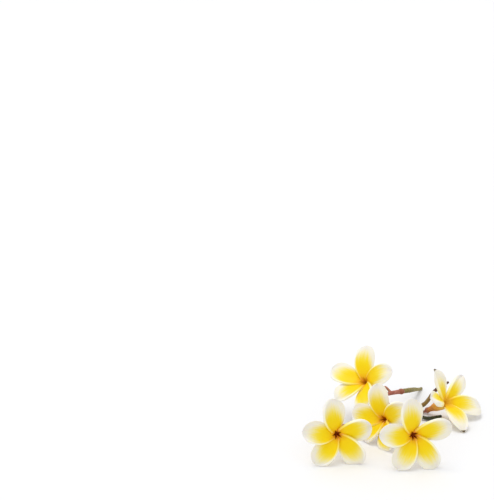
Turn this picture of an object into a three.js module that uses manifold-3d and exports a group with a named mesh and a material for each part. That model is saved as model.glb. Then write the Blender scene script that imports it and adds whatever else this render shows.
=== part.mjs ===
// Plumeria flower cluster: five open blooms on one picked, branched flower stalk, lying on a flat surface.
// Units are millimetres, +Z is up, the blooms face -Y, and the origin is under the middle of the cluster
// on the surface that it lies on. Each bloom is one waxy corolla: five petals that overlap like a
// pinwheel and run together into a slender tube, which stands in the small green cup of its own stalk.

import * as THREE from 'three';
import { mergeVertices } from 'three/addons/utils/BufferGeometryUtils.js';
import Module from 'manifold-3d';

const wasm = await Module();
wasm.setup();

// ---- Petals ----
const PETAL_THICKNESS = 0.9;
const LEAD_WIDTH = 12.2; // from the midrib to the raised edge, which lies over the next petal
const TUCK_WIDTH = 11.6; // from the midrib to the edge that is tucked under the petal before
const PETAL_CUP = 0.012; // how fast the raised half curls up, per mm
const PETAL_SLOPE = 0.34; // how steeply a petal leans from its tucked edge up to its raised edge
const THROAT_SLOPE = 0.3; // how much steeper it leans in the throat
const LIP = 1.1; // how far the raised edge rolls back
const LIP_START = 0.66; // share of the raised half where the roll begins
const TIP_DROOP = 1.2; // how far the tip bends back
const ROOT_DEPTH = 5; // how far the narrow foot of a petal goes down into the tube
const ROOT_END = 0.12; // share of the petal's length that goes down so
// Stations along the petal, as shares of its length: close together where the outline turns.
const STATIONS = [0.035, 0.1, 0.2, 0.33, 0.48, 0.63, 0.77, 0.88, 0.955, 0.99];
// Stations across it, from the tucked edge at -1 to the raised edge at 1.
const COLUMNS = [-1, -0.62, -0.2, 0.25, 0.66, 1];

// ---- Corolla tube and the calyx at its foot ----
const TUBE_LENGTH = 20;
const TUBE_FOOT_RADIUS = 2.1;
const TUBE_NECK_RADIUS = 2.9;
const TUBE_MOUTH_RADIUS = 5.6;
const THROAT_RADIUS = 1.5;
const THROAT_DEPTH = 9;
const CALYX_RADIUS = 3.2;
const CALYX_DEPTH = 2.2;
const CALYX_FOOT = 2; // height of the calyx below its floor, where it narrows to the pedicel
const CALYX_LEAN = 0.1; // how much wider the calyx is at its floor than the tube's foot
const FIT_GAP = 0.3; // clearance between two pieces that touch
const TUBE_SIDES = 14;

// ---- Stalks ----
const STALK_SIDES = 10;
const PEDICEL_RADIUS = 1.3;
const BRANCH_RADIUS = 1.6;
const AXIS_RADIUS = 1.9;
const KNOT_RADIUS = 3;
const KNOT_STRETCH = 1.25;
const FORK_SWELL = 0.3; // how much thicker than the axis a fork is
const STALK_STEP = 3.5; // length of one straight piece of a bent stalk
const STRAIGHT_RUN = 6; // how far a pedicel goes on straight behind its calyx

// ---- Blooms ----
// centre: the middle of the throat. azimuth: how far the bloom looks to the right of -Y.
// elevation: how far it looks up. roll: its turn about its own axis, counter-clockwise from the front.
// rise: how far the tips stand in front of the throat. openness: 1 is a flat flare, 0 a straight funnel.
// tube, funnel and run: the tube's length, its radius at half of that, and how far the pedicel goes on
// straight behind the calyx, where they aren't the usual ones.
// petals: counter-clockwise from the upper one, each one's length, its turn from its even place and,
// where it stands out of the bloom's flare, its lift at the tip, its sideways tilt, its share of the
// usual width and how far its tip comes to a point.
const BLOOMS = {
  top: {
    centre: [-26.5, 20, 40.5], azimuth: -49, elevation: 43, roll: 16, rise: 13, openness: 0.8, run: 1.5,
    petals: [[36.5, 5], [39, 8], [33, -4], [36, -7], [37.5, -2]],
  },
  middle: {
    centre: [-11, -28.5, 23], azimuth: -44, elevation: 18, roll: 15, rise: 10.5, openness: 0.9,
    petals: [[35.5, 4], [34.5, 8], [28.5, -4, 0.5, -0.08, 0.74], [32, -14], [36, 2]],
  },
  lower_left: {
    centre: [-61.5, -67.5, 27], azimuth: 5.5, elevation: 10.5, roll: 3.5, rise: 9, openness: 1,
    petals: [[37.5, 6], [35, 3], [35, -8], [36.5, 0], [33.5, -7]],
  },
  lower_middle: {
    centre: [11, -75.5, 30], azimuth: 7, elevation: 11, roll: 4.5, rise: 9.5, openness: 1,
    petals: [[38, 2.5], [35, 5.5], [35.5, 2], [37.5, -7.5], [37, -6]],
  },
  right: {
    centre: [55.5, 19.5, 17.8], azimuth: 55, elevation: 35, roll: 2, rise: 14, openness: 0.8,
    tube: 24, funnel: 4.8, run: 2.5,
    petals: [
      [37.2, 2.4, -2.4, -0.37, 0.78, 0.8], [32.5, -11, -5, 0.1, 0.8], [36.5, 5, 3.2, 0.5, 0.8, 0.8],
      [39.6, 13, 2.7, -0.16, 0.98], [37, 2.3, 0.1, -0.18, 0.78, 0.3],
    ],
  },
};

// ---- Stalk routes and radii, from the cut end towards the blooms ----
const CUT_END = [41.5, 91.4, 0.8];
const KNOT = [12.5, 36, 23.3];
const UPPER_FORK = [-6, 26, 23];
const LOWER_FORK = [10, 0, 9];
const MIDDLE_FORK = [1, 1, 7];
const FRONT_FORK = [16, 8, 6];
const SPUR_FORK = [20, 15, 5];
const RIGHT_FORK = [26, 21, 4];
const LEFT_FORK = [-59, -18, 12];
const PEDUNCLE = {
  route: [CUT_END, [38, 84, 3.4], [31, 69, 10.1], [21.3, 49, 18.4], KNOT],
  radii: [1.6, 1.9, 2.4, 2.6, 2.5],
};
const AXIS = {
  route: [KNOT, [2, 31, 23.8], UPPER_FORK, [-2, 13, 18], LOWER_FORK],
  radii: [2.2, AXIS_RADIUS],
};
const RIGHT_BRANCH = {
  route: [LOWER_FORK, FRONT_FORK, SPUR_FORK, RIGHT_FORK],
  radii: [AXIS_RADIUS, BRANCH_RADIUS],
};
const LEFT_BRANCH = {
  route: [LOWER_FORK, MIDDLE_FORK, [-38, -5, 3.8], LEFT_FORK],
  radii: [AXIS_RADIUS, BRANCH_RADIUS],
};
const UPPER_SPUR = {
  route: [SPUR_FORK, [28, 27.5, 7.5], [38, 36, 9.6], [50.7, 52, 17], [66.5, 70, 18]],
  radii: [1.5, 2.1, 2.1, 1.9, 1.3],
};
const LOWER_SPUR = {
  route: [RIGHT_FORK, [38, 15.5, 2.6], [53, 21.5, 2]],
  radii: [1.5, 1.9, 1.5],
};
// Where each pedicel goes from its bloom's cup, down to its fork.
const PEDICEL_ROUTES = {
  top: [[-9, 34.5, 27], [-4.5, 35.5, 28.5], [1, 31.3, 24.6]],
  middle: [MIDDLE_FORK],
  lower_left: [LEFT_FORK],
  lower_middle: [[7, -36, 22], [15, -19, 14], FRONT_FORK],
  right: [[31.5, 28.5, 2.3], RIGHT_FORK],
};

const COLOURS = {
  corolla: { color: 0xf7df3a, roughness: 0.45, metalness: 0 },
  young: { color: 0xc0786e, roughness: 0.5, metalness: 0 },
  green: { color: 0x7f7c38, roughness: 0.6, metalness: 0 },
};

const degrees = (angle) => THREE.MathUtils.degToRad(angle);

// ---------------------------------------------------------------- solids
function toSolid(geometry) {
  const bare = geometry.clone();
  for (const name of Object.keys(bare.attributes)) {
    if (name !== 'position') bare.deleteAttribute(name);
  }
  const merged = mergeVertices(bare, 1e-4);
  const corners = [];
  const index = merged.index.array;
  for (let i = 0; i < index.length; i += 3) {
    const [a, b, c] = [index[i], index[i + 1], index[i + 2]];
    if (a !== b && b !== c && c !== a) corners.push(a, b, c);
  }
  return new wasm.Manifold(new wasm.Mesh({
    numProp: 3,
    vertProperties: new Float32Array(merged.attributes.position.array),
    triVerts: new Uint32Array(corners),
  }));
}

function toMesh(name, solid, colour) {
  const { vertProperties, triVerts, numProp } = solid.getMesh();
  const positions = new Float32Array((vertProperties.length / numProp) * 3);
  for (let i = 0; i < positions.length / 3; i += 1) {
    for (let axis = 0; axis < 3; axis += 1) positions[3 * i + axis] = vertProperties[numProp * i + axis];
  }
  const geometry = new THREE.BufferGeometry();
  geometry.setAttribute('position', new THREE.BufferAttribute(positions, 3));
  geometry.setIndex(new THREE.BufferAttribute(new Uint32Array(triVerts), 1));
  geometry.computeVertexNormals();
  const mesh = new THREE.Mesh(geometry, new THREE.MeshStandardMaterial(colour));
  mesh.name = name;
  return mesh;
}

function joined(solids) {
  return solids.reduce((whole, solid) => whole.add(solid));
}

// The one body of a fused solid: a pocket sealed inside it is filled and a loose scrap is dropped.
function oneBody(solid) {
  return solid.decompose().reduce((body, other) => (other.volume() > body.volume() ? other : body));
}

// A profile of [radius, height] points, from the axis round to the axis, turned about +Z.
function turned(profile, sides) {
  const lathe = new THREE.LatheGeometry(profile.map(([r, z]) => new THREE.Vector2(r, z)), sides);
  return lathe.rotateX(Math.PI / 2);
}

// ---------------------------------------------------------------- petals
function leadWidth(u, { width, point }) {
  return width * (LEAD_WIDTH / 0.61) * u ** 0.5 * (1 - u ** 2) ** (0.56 + 0.35 * point);
}

function tuckWidth(u, { width, point }) {
  return width * (TUCK_WIDTH / 0.6) * u ** 0.7 * (1 - u ** 2.6) ** (0.56 + 0.35 * point);
}

// Height of the petal in front of the throat, at a share u of its length and y mm beside its midrib.
function petalHeight(u, y, v, { rise, openness }, { lift, tilt }) {
  const flare = 1 - (1 - u) ** (1 + 1.3 * openness);
  const root = ROOT_DEPTH * Math.max(0, 1 - u / ROOT_END) ** 2;
  const slope = tilt + PETAL_SLOPE * (1 - u) ** 1.2 + THROAT_SLOPE * Math.exp(-u / 0.15);
  const curl = v > 0 ? PETAL_CUP * y * y : 0;
  const lip = LIP * Math.max(0, (v - LIP_START) / (1 - LIP_START)) ** 2 * Math.min(1, 3 * u);
  return (rise + lift) * flare - root + slope * y + curl - lip - TIP_DROOP * u ** 5;
}

function petalPoint(u, v, bloom, petal) {
  const y = v * (v > 0 ? leadWidth(u, petal) : tuckWidth(u, petal));
  return new THREE.Vector3(u * petal.length, y, petalHeight(u, y, v, bloom, petal));
}

function petalNormal(u, v, bloom, petal) {
  const step = 0.004;
  const [u0, u1] = [Math.max(0.01, u - step), Math.min(0.995, u + step)];
  const [v0, v1] = [Math.max(-1, v - step), Math.min(1, v + step)];
  const along = petalPoint(u1, v, bloom, petal).sub(petalPoint(u0, v, bloom, petal));
  const across = petalPoint(u, v1, bloom, petal).sub(petalPoint(u, v0, bloom, petal));
  return along.cross(across).normalize();
}

// One petal as a closed blade of even thickness, both faces split into triangles alike.
function petalGeometry(bloom, petal) {
  const rows = STATIONS.length;
  const columns = COLUMNS.length;
  const positions = [];
  for (const side of [0.5, -0.5]) {
    for (const u of STATIONS) {
      for (const v of COLUMNS) {
        const normal = petalNormal(u, v, bloom, petal);
        const point = petalPoint(u, v, bloom, petal).addScaledVector(normal, side * PETAL_THICKNESS);
        positions.push(point.x, point.y, point.z);
      }
    }
  }
  const at = (face, row, column) => (face * rows + row) * columns + column;
  const index = [];
  for (let row = 0; row < rows - 1; row += 1) {
    for (let column = 0; column < columns - 1; column += 1) {
      const front = [[row, column], [row + 1, column], [row + 1, column + 1], [row, column + 1]];
      const [a, b, c, d] = front.map(([r, k]) => at(0, r, k));
      const [e, f, g, h] = front.map(([r, k]) => at(1, r, k));
      index.push(a, b, c, a, c, d, e, g, f, e, h, g);
    }
  }
  const rim = [];
  for (let row = 0; row < rows - 1; row += 1) rim.push([row, 0]);
  for (let column = 0; column < columns - 1; column += 1) rim.push([rows - 1, column]);
  for (let row = rows - 1; row > 0; row -= 1) rim.push([row, columns - 1]);
  for (let column = columns - 1; column > 0; column -= 1) rim.push([0, column]);
  rim.forEach(([row, column], i) => {
    const [nextRow, nextColumn] = rim[(i + 1) % rim.length];
    const [a, b] = [at(0, row, column), at(0, nextRow, nextColumn)];
    const [c, d] = [at(1, row, column), at(1, nextRow, nextColumn)];
    index.push(c, d, b, c, b, a);
  });
  const geometry = new THREE.BufferGeometry();
  geometry.setAttribute('position', new THREE.Float32BufferAttribute(positions, 3));
  geometry.setIndex(index);
  return geometry;
}

// ---------------------------------------------------------------- corollas
// The tube stands on its foot, a tube's length down, and opens into a throat at the mouth, at height 0.
function tubeGeometry({ tube = TUBE_LENGTH, funnel = TUBE_NECK_RADIUS }) {
  const mouth = Math.max(TUBE_MOUTH_RADIUS, 1.3 * funnel);
  return turned([
    [0, -tube],
    [TUBE_FOOT_RADIUS, -tube],
    [TUBE_NECK_RADIUS, -0.72 * tube],
    [funnel, -0.5 * tube],
    [Math.max(0.65 * mouth, 1.2 * funnel), -0.2 * tube],
    [mouth, 1.4],
    [THROAT_RADIUS + 1, -1.4],
    [0.7 * THROAT_RADIUS, -0.5 * THROAT_DEPTH],
    [0, -THROAT_DEPTH],
  ], TUBE_SIDES);
}

// The pose of a bloom: its facing direction is local +Z and its upper petal points along local +Y.
function bloomPose({ centre, azimuth, elevation, roll }) {
  const facing = new THREE.Vector3(
    Math.sin(degrees(azimuth)) * Math.cos(degrees(elevation)),
    -Math.cos(degrees(azimuth)) * Math.cos(degrees(elevation)),
    Math.sin(degrees(elevation)),
  );
  const right = new THREE.Vector3(0, 0, 1).cross(facing).normalize();
  const up = facing.clone().cross(right);
  const pose = new THREE.Matrix4().makeBasis(right, up, facing);
  pose.multiply(new THREE.Matrix4().makeRotationZ(degrees(roll)));
  return pose.setPosition(...centre);
}

function corolla(bloom) {
  const pieces = [toSolid(tubeGeometry(bloom))];
  bloom.petals.forEach(([length, turn, lift = 0, tilt = 0, width = 1, point = 0], i) => {
    const petal = petalGeometry(bloom, { length, lift, tilt, width, point });
    pieces.push(toSolid(petal.rotateZ(degrees(90 + (360 / bloom.petals.length) * i + turn))));
  });
  return joined(pieces).transform(bloomPose(bloom).elements);
}

// ---------------------------------------------------------------- stalks
// A round stalk along a smooth route. Its radius is eased between values spread evenly along it.
function stalk({ route, radii }, extra = 0) {
  const curve = new THREE.CatmullRomCurve3(route.map((point) => new THREE.Vector3(...point)));
  const steps = Math.ceil(curve.getLength() / STALK_STEP);
  const frames = curve.computeFrenetFrames(steps);
  const geometry = new THREE.CylinderGeometry(1, 1, 1, STALK_SIDES, steps);
  const position = geometry.attributes.position;
  for (let i = 0; i < position.count; i += 1) {
    const step = Math.round((position.getY(i) + 0.5) * steps);
    const share = (step / steps) * (radii.length - 1);
    const before = Math.min(radii.length - 2, Math.floor(share));
    const radius = THREE.MathUtils.lerp(radii[before], radii[before + 1], share - before) + extra;
    const point = curve.getPointAt(step / steps)
      .addScaledVector(frames.binormals[step], radius * position.getX(i))
      .addScaledVector(frames.normals[step], radius * position.getZ(i));
    position.setXYZ(i, point.x, point.y, point.z);
  }
  return toSolid(geometry);
}

function ball(place, radius) {
  return new THREE.SphereGeometry(radius, STALK_SIDES, STALK_SIDES / 2).translate(...place);
}

// The pink axis with its knot and its two branches. extra thickens all of it, to clear what grows on it.
function flowerAxis(extra = 0) {
  const knot = ball([0, 0, 0], KNOT_RADIUS + extra).scale(KNOT_STRETCH, 1, 1).translate(...KNOT);
  const forks = [LOWER_FORK, RIGHT_FORK, LEFT_FORK]
    .map((fork) => toSolid(ball(fork, AXIS_RADIUS + FORK_SWELL + extra)));
  const stalks = [AXIS, RIGHT_BRANCH, LEFT_BRANCH].map((part) => stalk(part, extra));
  return joined([...stalks, ...forks, toSolid(knot)]);
}

// The point on a bloom's axis that lies a distance behind its throat.
function behindThroat(bloom, distance) {
  return new THREE.Vector3(0, 0, -distance).applyMatrix4(bloomPose(bloom)).toArray();
}

// The calyx, a cup that holds the foot of the tube, and the thin stalk from it to the fork that bears it.
function pedicel(bloom, waypoints) {
  const foot = bloom.tube ?? TUBE_LENGTH;
  const floor = -foot - FIT_GAP;
  const bore = TUBE_FOOT_RADIUS + FIT_GAP + CALYX_LEAN;
  const calyx = toSolid(turned([
    [0, floor - CALYX_FOOT],
    [PEDICEL_RADIUS, floor - CALYX_FOOT],
    [CALYX_RADIUS, floor],
    [CALYX_RADIUS, floor + CALYX_DEPTH],
    [bore + CALYX_LEAN, floor + CALYX_DEPTH],
    [bore, floor],
    [0, floor],
  ], TUBE_SIDES)).transform(bloomPose(bloom).elements);
  const start = behindThroat(bloom, foot + FIT_GAP + CALYX_FOOT / 2);
  const leave = behindThroat(bloom, foot + CALYX_FOOT + (bloom.run ?? STRAIGHT_RUN));
  return calyx.add(stalk({ route: [start, leave, ...waypoints], radii: [PEDICEL_RADIUS, PEDICEL_RADIUS] }));
}

// ---------------------------------------------------------------- the cluster
// Everything stands on the surface at height 0: what would dip below it is cut flat there.
const belowSurface = toSolid(new THREE.BoxGeometry(400, 400, 40).translate(0, 0, -20));
const aroundAxis = flowerAxis(FIT_GAP);
const cluster = new THREE.Group();

function place(name, solid, colour) {
  cluster.add(toMesh(name, oneBody(solid.subtract(belowSurface)), colour));
}

for (const [name, bloom] of Object.entries(BLOOMS)) {
  place(`corolla_${name}`, corolla(bloom), COLOURS.corolla);
  place(`pedicel_${name}`, pedicel(bloom, PEDICEL_ROUTES[name]).subtract(aroundAxis), COLOURS.young);
}
place('flower_axis', flowerAxis(), COLOURS.young);
place('peduncle', stalk(PEDUNCLE).subtract(aroundAxis), COLOURS.green);
place('upper_spur', stalk(UPPER_SPUR).subtract(aroundAxis), COLOURS.green);
place('lower_spur', stalk(LOWER_SPUR).subtract(aroundAxis), COLOURS.green);

export default cluster;
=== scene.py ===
"""A picked plumeria flower cluster: five waxy blooms on one branched stalk, lying on a flat surface.

Lengths are in millimetres, as a botanist would measure the flower, and are turned to metres where a
point goes into a mesh. +Z is up, the front blooms look towards -Y, and the origin is on the surface,
under the middle of the cluster.
"""

import logging
import math
import random
from collections.abc import Callable, Sequence
from dataclasses import dataclass, field
from enum import Enum

import bmesh
import bpy
from mathutils import Matrix, Vector, noise


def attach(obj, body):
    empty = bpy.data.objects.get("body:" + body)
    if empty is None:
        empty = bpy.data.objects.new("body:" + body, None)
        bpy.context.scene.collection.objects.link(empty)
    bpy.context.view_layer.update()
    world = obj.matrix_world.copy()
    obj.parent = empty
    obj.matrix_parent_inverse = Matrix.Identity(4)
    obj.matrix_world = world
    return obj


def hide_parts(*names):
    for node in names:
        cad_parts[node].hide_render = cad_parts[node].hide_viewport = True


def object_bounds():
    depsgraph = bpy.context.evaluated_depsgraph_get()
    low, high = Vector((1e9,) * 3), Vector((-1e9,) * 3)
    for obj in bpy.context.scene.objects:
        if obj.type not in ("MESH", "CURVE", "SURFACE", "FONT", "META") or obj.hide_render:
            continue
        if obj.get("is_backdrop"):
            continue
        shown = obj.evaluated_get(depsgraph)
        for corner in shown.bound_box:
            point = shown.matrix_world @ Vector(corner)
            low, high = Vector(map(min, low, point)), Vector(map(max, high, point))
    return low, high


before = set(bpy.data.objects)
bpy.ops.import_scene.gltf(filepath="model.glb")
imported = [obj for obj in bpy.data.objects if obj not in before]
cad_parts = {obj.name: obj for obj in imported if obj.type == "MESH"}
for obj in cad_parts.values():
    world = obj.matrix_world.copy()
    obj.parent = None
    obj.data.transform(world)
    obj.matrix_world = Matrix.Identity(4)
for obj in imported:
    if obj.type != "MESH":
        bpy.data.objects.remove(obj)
CAD_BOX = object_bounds()

log = logging.getLogger("plumeria")

MM = 0.001
ROOT_BODY = "root"
Point = tuple[float, float, float]

# ---- The photograph's camera ----
FOCAL_PIXELS = 1300.0
FRAME_PIXELS = 500.0  # the long side of the picture
SENSOR_WIDTH = 36.0
CAMERA_PLACE = (-148.0, -1196.0, 602.0)
CAMERA_PITCH = 18.95  # degrees below the horizon

# ---- What the finishes share ----
MARKS = ("tone", "dry", "throat")  # numbers that a mesh keeps for them
VEIN_CHANGES = 2.5  # how often a streak changes over the whole length
TONE_STEP = 40.0  # how far apart the patterns of two pieces lie
# Petal tissue is full of water, so light goes up to 1 mm into it and comes out yellow.
PETAL_TISSUE = {
    "IOR": 1.4,
    "Specular_IOR_Level": 0.22,
    "Subsurface_Weight": 0.12,
    "Subsurface_Scale": 0.001,
    "Subsurface_Radius": (1.0, 0.8, 0.3),
}

FLOOR_GAP = 0.1  # between the surface and the lowest skin, so that neither shows through the other

# ---- Outline of a petal ----
# The greatest values of the two edges' formulas, which are divided by them so that a width is a real one.
LEAD_PEAK = 0.61
TUCK_PEAK = 0.6
TIP_BLUNT = 0.56  # power that closes the tip: the lower, the rounder
TIP_POINT = 0.35  # what a full point adds to it
ROOT_SHARE = 0.12  # share of the length over which a petal rises out of the throat

# ---- Tube and calyx, shared by every bloom ----
TUBE_LENGTH = 20.0
TUBE_FOOT_RADIUS = 2.0
TUBE_NECK_RADIUS = 2.9
TUBE_MOUTH_RADIUS = 5.9
TUBE_FLUTING = 0.03  # how far the five joins of the petals stand out, as a share of the radius
THROAT_NARROWS = 4.4  # depth inside the mouth where the throat has half its width
THROAT_FLOOR = 6.5  # depth where it is closed
TUBE_CELLS = (50, 40)
FIT_GAP = 0.3  # between the tube's foot and its calyx
CALYX_RADIUS = 3.0
CALYX_FOOT = 2.0
CALYX_HEIGHT = 1.7  # from the tube's foot to a notch between two lobes
CALYX_LOBE = 1.5
CALYX_CELLS = (30, 40)
STRAIGHT_RUN = 6.0  # of a thin stalk behind its calyx
LOBES = 5

# ---- Stalks ----
FINE_STEPS = 400  # points of a route before it is divided evenly
CAP_ROWS = 3  # rows that close each end
CUT_BULGE = 0.05  # how far a cut end stands out, as a share of the radius
ROUND_BULGE = 0.3  # the same for a blunt one

# ---- Forks of the stalk ----
CUT_END = (41.5, 91.4, 0.9)
KNOT = (12.5, 36.0, 23.3)
UPPER_FORK = (-6.0, 26.0, 23.0)
LOWER_FORK = (10.0, 0.0, 9.0)
MIDDLE_FORK = (1.0, 1.0, 7.0)
FRONT_FORK = (16.0, 8.0, 6.0)
SPUR_FORK = (20.0, 15.0, 5.0)
RIGHT_FORK = (26.0, 21.0, 4.0)
LEFT_FORK = (-59.0, -18.0, 12.0)


def smooth(low: float, high: float, value: float) -> float:
    """Returns a share that eases from 0 at low to 1 at high."""
    share = min(1.0, max(0.0, (value - low) / (high - low)))
    return share * share * (3.0 - 2.0 * share)


# ---------------------------------------------------------------- colours and nodes
def linear(code: str, alpha: float = 1.0) -> tuple[float, float, float, float]:
    """Turns an sRGB hex colour to linear light.

    Args:
        code: The colour as "#RRGGBB".
        alpha: Its opacity.

    Returns:
        The linear red, green and blue, and alpha.
    """
    parts = [int(code[i : i + 2], 16) / 255 for i in (1, 3, 5)]
    red, green, blue = (c / 12.92 if c <= 0.04045 else ((c + 0.055) / 1.055) ** 2.4 for c in parts)
    return red, green, blue, alpha


def add_node(
    tree: bpy.types.NodeTree,
    kind: str,
    inputs: dict | None = None,
    output: int = 0,
    stops: Sequence[tuple[float, str]] = (),
    **settings: object,
) -> bpy.types.NodeSocket:
    """Adds one node with its settings and links.

    Args:
        tree: The node tree it goes into.
        kind: The node's type name.
        inputs: For each input, by name or number, a value or the socket it is linked from.
        output: The number of the output to return.
        stops: The places and hex colours of a colour ramp.
        **settings: The node's own properties.

    Returns:
        The chosen output socket.
    """
    node = tree.nodes.new(kind)
    for name, value in settings.items():
        setattr(node, name, value)
    for place, code in stops:
        known = [e for e in node.color_ramp.elements if abs(e.position - place) < 1e-4]
        element = known[0] if known else node.color_ramp.elements.new(place)
        element.color = linear(code)
    for key, value in (inputs or {}).items():
        if isinstance(value, bpy.types.NodeSocket):
            tree.links.new(value, node.inputs[key])
        else:
            node.inputs[key].default_value = value
    return node.outputs[output] if node.outputs else None


def start_material(
    name: str, **shader: object
) -> tuple[bpy.types.Material, bpy.types.NodeTree, bpy.types.Node]:
    """Starts a material on one Principled shader.

    Args:
        name: The material's name.
        **shader: Values for the shader's sockets, with _ for a space in a name.

    Returns:
        The material, its node tree and its shader node.
    """
    material = bpy.data.materials.new(name)
    material.use_nodes = True
    tree = material.node_tree
    principled = tree.nodes["Principled BSDF"]
    for socket, value in shader.items():
        principled.inputs[socket.replace("_", " ")].default_value = value
    return material, tree, principled


def lay_over(
    tree: bpy.types.NodeTree,
    colour: bpy.types.NodeSocket | tuple,
    layers: Sequence[tuple[bpy.types.NodeSocket, bpy.types.NodeSocket | tuple]],
) -> bpy.types.NodeSocket:
    """Lays colours over one another.

    Args:
        tree: The node tree.
        colour: The lowest colour.
        layers: How strongly each layer shows and its colour, from the lowest layer up.

    Returns:
        The colour that is seen.
    """
    for share, over in layers:
        mix = {0: share, 6: colour, 7: over}
        colour = add_node(tree, "ShaderNodeMix", mix, output=2, data_type="RGBA")
    return colour


def dress(
    tree: bpy.types.NodeTree,
    shader: bpy.types.Node,
    colour: bpy.types.NodeSocket,
    height: bpy.types.NodeSocket,
    depth: float,
    strength: float,
) -> None:
    """Gives a material its colour and its fine relief.

    Args:
        tree: The node tree.
        shader: The shader node.
        colour: The colour.
        height: The height of the relief, from 0 to 1.
        depth: How deep the relief is, in millimetres.
        strength: How strongly it shows.
    """
    relief = {"Strength": strength, "Distance": depth * MM, "Height": height}
    tree.links.new(colour, shader.inputs["Base Color"])
    tree.links.new(add_node(tree, "ShaderNodeBump", relief), shader.inputs["Normal"])


def draw_veins(
    tree: bpy.types.NodeTree,
    along: bpy.types.NodeSocket,
    across: bpy.types.NodeSocket,
    tone: bpy.types.NodeSocket,
    lines: float,
) -> bpy.types.NodeSocket:
    """Draws fine streaks that run along a petal or a stalk.

    Args:
        tree: The node tree.
        along: The share of the length.
        across: The share of the width.
        tone: The piece's own number, so that no two are alike.
        lines: How many streaks lie side by side.

    Returns:
        The height of the streaks, from 0 to 1.
    """
    place = add_node(tree, "ShaderNodeCombineXYZ", {0: along, 1: across, 2: tone})
    spread = {0: place, 1: (VEIN_CHANGES, lines, TONE_STEP)}
    place = add_node(tree, "ShaderNodeVectorMath", spread, operation="MULTIPLY")
    return add_node(
        tree, "ShaderNodeTexNoise", {"Vector": place, "Scale": 1.0, "Detail": 2.0, "Roughness": 0.5}
    )


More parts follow.
